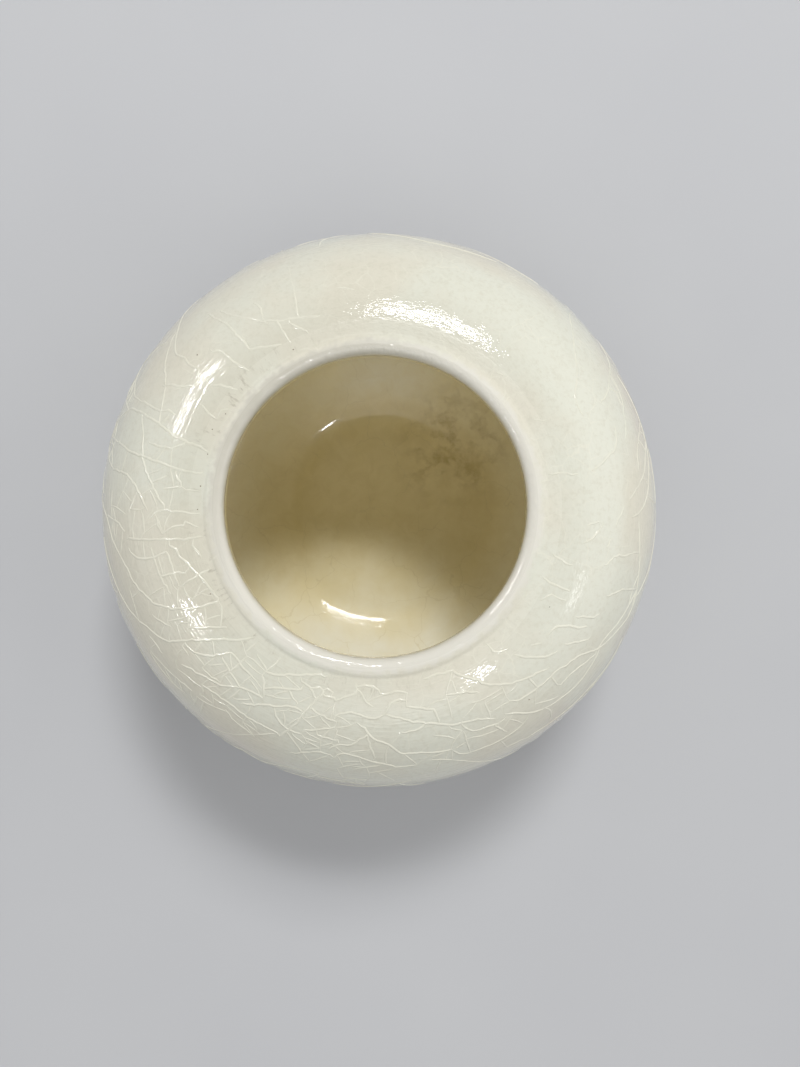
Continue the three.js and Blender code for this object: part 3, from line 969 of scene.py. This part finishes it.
def cream_colour(place):
    x, y, z, radius = parts_of(place)
    clouds = place.noise(0.055, 3.0).band(0.4, 0.62)
    colour = clouds.mix(CREAM, WARM_CREAM)
    pink = place.noise(0.09, 3.0).band(0.46, 0.74) * z.band(52, 40)
    colour = (pink * 0.7).mix(colour, PINK_CREAM)
    mottle = place.noise(1.3, 4.0, 0.7).band(0.45, 0.7)
    colour = (mottle * 0.5).mix(colour, MOTTLE_SHADE)
    lines = craze(place, 3.9, 0.1, 1.6) * place.noise(0.12).band(0.38, 0.58)
    colour = (lines * 0.55).mix(colour, CRACK_CREAM)
    # painted shade: a ring round the lip's root is greyed, except on the +X side
    painted_ring_shade = radius.band(34, 25.5) * radius.band(23.6, 24.8) * (x - y * 0.3).band(26, -2) * z.band(45, 50)
    colour = (painted_ring_shade * 0.34).mix(colour, RING_PAINTED_SHADE)
    ragged = radius + place.noise(0.7, 3.0) * 2.4 - 1.2
    lip = ragged.band(24.0, 22.8) * z.band(54, 55.4)
    return lip.mix(colour, lip_colour(place))


glaze, shader, place = new_finish("cream_glaze", GLOSS, IOR=1.5)
x, y, z, radius = parts_of(place)
spoke = place.node("CombineXYZ", None, {0: x / radius * 24, 1: y / radius * 24, 2: radius * 0.32})
comb = spoke.noise(1.9, 3.0, 0.65).band(0.52, 0.7)
ring = radius.band(23.8, 24.5) * radius.band(27.8, 25.4) * z.band(50, 53)
side = (x * -1.0 - y * 0.25).band(-6, 20) * 0.8 + 0.2
patches = place.noise(0.35, 2.0).band(0.35, 0.6)
feed(shader, "Base Color", (comb * ring * side * patches * 0.85).mix(cream_colour(place), COMB_SHADE))
dry = radius.band(22.6, 23.1) * radius.band(27, 25.6) * z.band(50, 53)
feed(shader, "Roughness", dry * (COMBED - GLOSS) + GLOSS)
feed(shader, "Normal", glaze_normal(place))
outer_coat.data.materials.append(glaze)
print(glaze.name, "has nodes:", len(glaze.node_tree.nodes))

# %% [markdown]
# The crackle's glaze
#
# The raised lines are the same glaze drawn thin over a healed crack, so they look paler than the
# ground. They keep the ground's clouds, only lighter, and the same gloss.

# %% Mix the crackle's glaze and the pinholes' dark
crack_glaze, shader, place = new_finish("crack_glaze", 0.12, IOR=1.5)
pale = place.noise(0.5, 2.0).band(0.25, 0.6)
feed(shader, "Base Color", (pale * 0.5 + 0.2).mix(cream_colour(place), CRACK_CREAM))
feed(shader, "Normal", glaze_normal(place, 0.02))
for net in (shoulder_crackle, belly_crackle):
    net.data.materials.append(crack_glaze)

burnt, shader, place = new_finish("pinhole_dark", 0.5)
feed(shader, "Base Color", place.noise(6.0).band(0.3, 0.7).mix(shade(92, 78, 58), shade(140, 126, 104)))
pinholes.data.materials.append(burnt)
print(crack_glaze.name, "and", burnt.name, "are mixed")

# %% [markdown]
# The amber glaze inside
#
# Inside, the same glaze lies thicker and turns amber towards the floor. Its near (-Y) wall and
# floor are painted paler where light falls through the mouth, and a lit patch on the far wall is
# painted paler too: both are painted light. The floor shows a painted shade ring where it bends up,
# a little off the jar's centre, a soft mottle, brown veins in one quarter, and fine brown craze
# lines. Near the lip it fades to the lip's white, so that both coats meet in one colour at the crest.

# %% Mix the amber glaze
AMBER_WALL = shade(242, 231, 188)
PAINTED_LIT_WALL = shade(246, 243, 226)
AMBER_FLOOR = shade(245, 231, 184)
PAINTED_LIT_FLOOR = shade(245, 238, 210)
AMBER_DARK = shade(228, 212, 156)
VEIN_BROWN = shade(196, 178, 118)
CRAZE_BROWN = shade(210, 196, 150)
BEND_SHADE_CENTRE, BEND_SHADE_RADIUS = (2.0, 2.2), 19.0  # mm
VEIN_CENTRE, VEIN_REACH = (13.0, 13.0), 14.0  # mm

amber, shader, place = new_finish("amber_glaze", 0.08, IOR=1.5)
x, y, z, radius = parts_of(place)
height = z.band(floor_height, 11.5)
# painted light: the near (-Y) side and a patch of the far wall are painted paler where light falls
near = y.band(2, -18) * (abs(x + 2.0).band(21, 9) * 0.65 + 0.35)
painted_light_patch = abs(x - 0.5).band(11, 3) * y.band(13, 19)
wall = (near + painted_light_patch * 0.5).mix(AMBER_WALL, PAINTED_LIT_WALL)
colour = height.mix(near.mix(AMBER_FLOOR, PAINTED_LIT_FLOOR), wall)
clouds = place.noise(0.11, 3.0).band(0.35, 0.7)
colour = (clouds * (0.4 - height * 0.2)).mix(colour, AMBER_DARK)
# painted shade: a darker ring where the floor bends up, drawn a little off centre, not on the lit near
# side
from_bend_shade = distance_from(x, y, BEND_SHADE_CENTRE)
bend_shade = from_bend_shade.band(BEND_SHADE_RADIUS + 0.7, BEND_SHADE_RADIUS - 0.8) * z.band(14, 11)
bend_shade_rim = from_bend_shade.band(BEND_SHADE_RADIUS - 5, BEND_SHADE_RADIUS) * bend_shade
colour = ((bend_shade_rim * 0.3 + bend_shade * 0.06) * y.band(-10, -2)).mix(colour, AMBER_DARK)
veins = craze(place, 7.5, 1.5, 9.0)
from_veins = distance_from(x, y, VEIN_CENTRE)
near_veins = from_veins.band(VEIN_REACH, VEIN_REACH * 0.3) * z.band(30, 20)
smudges = place.noise(0.3, 4.0, 0.7).band(0.35, 0.7)
colour = (near_veins * (veins * (smudges * 0.4 + 0.3) + smudges * 0.25)).mix(colour, VEIN_BROWN)
# the mottle is weaker on the near side, which is painted paler as lit
mottle = place.noise(0.28, 4.0, 0.65, 0.6).band(0.35, 0.68)
colour = (mottle * (0.42 - height * 0.12) * (1.0 - near * 0.7)).mix(colour, AMBER_DARK)
lines = craze(place, 7.0, 0.12, 3.0) * place.noise(0.1).band(0.4, 0.65)
colour = (lines * 0.3).mix(colour, CRAZE_BROWN)
lip = z.band(54.6, 56.3)
feed(shader, "Base Color", lip.mix(colour, lip_colour(place)))
feed(shader, "Normal", glaze_normal(place, strength=lip * 2.4 + 0.25))
inner_coat.data.materials.append(amber)
print(amber.name, "has nodes:", len(amber.node_tree.nodes))

# %% [markdown]
# Bare clay and the coat underneath
#
# The clay is fine, sandy beige and dry, with rings left by the turning tool, and it is toasted
# brown in a thin line where it meets the glaze. The CAD clay sections get it too, although the
# coats hide them.

# %% Mix the clay and the base glaze
CLAY = shade(222, 208, 182)
CLAY_SAND = shade(196, 178, 148)
CLAY_TOAST = shade(176, 132, 88)

clay, shader, place = new_finish("bare_clay", 0.85)
x, y, z, radius = parts_of(place)
grit = place.noise(3.2, 4.0, 0.7)
colour = grit.band(0.42, 0.66).mix(CLAY, CLAY_SAND)
toast = z.band(0.75, 1.25) * z.band(1.9, 1.4)
colour = (toast * place.noise(0.5).band(0.25, 0.6) * 0.8).mix(colour, CLAY_TOAST)
rings = place.node("CombineXYZ", None, {0: radius, 1: 0.0, 2: z * 0.7})
feed(shader, "Base Color", colour)
feed(shader, "Normal", bumped(grit, 0.05, bumped(rings.noise(2.0, 2.0), 0.12)))
foot.data.materials.append(clay)
for name in ("lower_bowl", "shoulder", "lip"):
    for material_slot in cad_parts[name].material_slots:
        material_slot.material = clay

base_glaze, shader, place = new_finish("base_cream_glaze", 0.08, IOR=1.5)
feed(shader, "Base Color", cream_colour(place))
feed(shader, "Normal", glaze_normal(place))
base_coat.data.materials.append(base_glaze)
print(clay.name, "and", base_glaze.name, "are mixed")

# %% [markdown]
# Floor, lights and air
#
# The jar stands on a plain pale floor. A broad lamp above the far side throws the long highlight
# on the shoulder, and a second one that shows in no reflection lights the near wall inside. Small
# lamps give the short highlights, and the three brightest of them light nothing else. The air all
# round is a soft dome, dimmer straight above, which keeps the inside of the jar amber and dark.

# %% Light the jar
def area_lamp(name, azimuth, elevation, width, height, radiance):
    """A flat lamp one metre away that faces the mouth; its radiance is light per its face"""
    a, e = radians(azimuth), radians(elevation)
    way = Vector((cos(e) * cos(a), cos(e) * sin(a), sin(e)))
    bpy.ops.object.light_add(type="AREA", location=way + Vector((0, 0, 0.05)))
    lamp = bpy.context.object
    lamp.name = lamp.data.name = name
    lamp.rotation_mode = "QUATERNION"
    lamp.rotation_quaternion = way.to_track_quat("Z", "Y")
    lamp.data.shape = "RECTANGLE"
    lamp.data.size, lamp.data.size_y = width, height
    lamp.data.energy = radiance * pi * width * height
    return lamp


area_lamp("window", 77, 59, 0.3, 0.12, 22)
area_lamp("window_glow", 76, 54.5, 0.24, 0.2, 24).visible_glossy = False
for name, azimuth, elevation, width in (
    ("upper_left", 148, 40.5, 0.27), ("lower_left", 208, 40.5, 0.13), ("near", 302, 63, 0.06),
):
    area_lamp(name, azimuth, elevation, width, 0.04, 60).visible_diffuse = False
area_lamp("lower_right", 339, 40, 0.16, 0.05, 7)

AIR_EAST, AIR_WEST, AIR_SOUTH, AIR_REST = 1.25, 0.92, 1.6, 0.3  # strength from each side

world = bpy.data.worlds.new("studio_air")
bpy.context.scene.world = world
world.use_nodes = True
start = Wire(world.node_tree)
way = start.node("TexCoord", output="Generated")
east, north, up = (start.node("SeparateXYZ", None, {0: way}, i) for i in range(3))
flat = (east * east + north * north) ** 0.5
sideways = (east / flat) ** 2.0
strength = east.band(-0.05, 0.05) * (AIR_EAST - AIR_WEST) + AIR_WEST
from_sides = sideways * up.band(0.86, 0.62) * (strength - AIR_REST)
south = (1.0 - sideways) ** 2.0 * north.band(0.05, -0.05) * up.band(0.6, 0.75) * up.band(0.985, 0.94)
level = from_sides + south * (AIR_SOUTH - AIR_REST) + AIR_REST
air = start.node("CombineColor", None, {key: level for key in range(3)})
background = world.node_tree.nodes["Background"]
world.node_tree.links.new(air.socket, background.inputs["Color"])
background.inputs["Strength"].default_value = 1.0

bpy.ops.object.select_all(action="DESELECT")
bpy.ops.mesh.primitive_plane_add(size=4)
ground = bpy.context.object
ground.name = ground.data.name = "floor"
paper, shader, place = new_finish("pale_floor", 0.8)
feed(shader, "Base Color", place.noise(0.02, 2.0).mix(shade(182, 183, 186), shade(188, 189, 191)))
ground.data.materials.append(paper)

bpy.context.scene.view_settings.view_transform = "Standard"
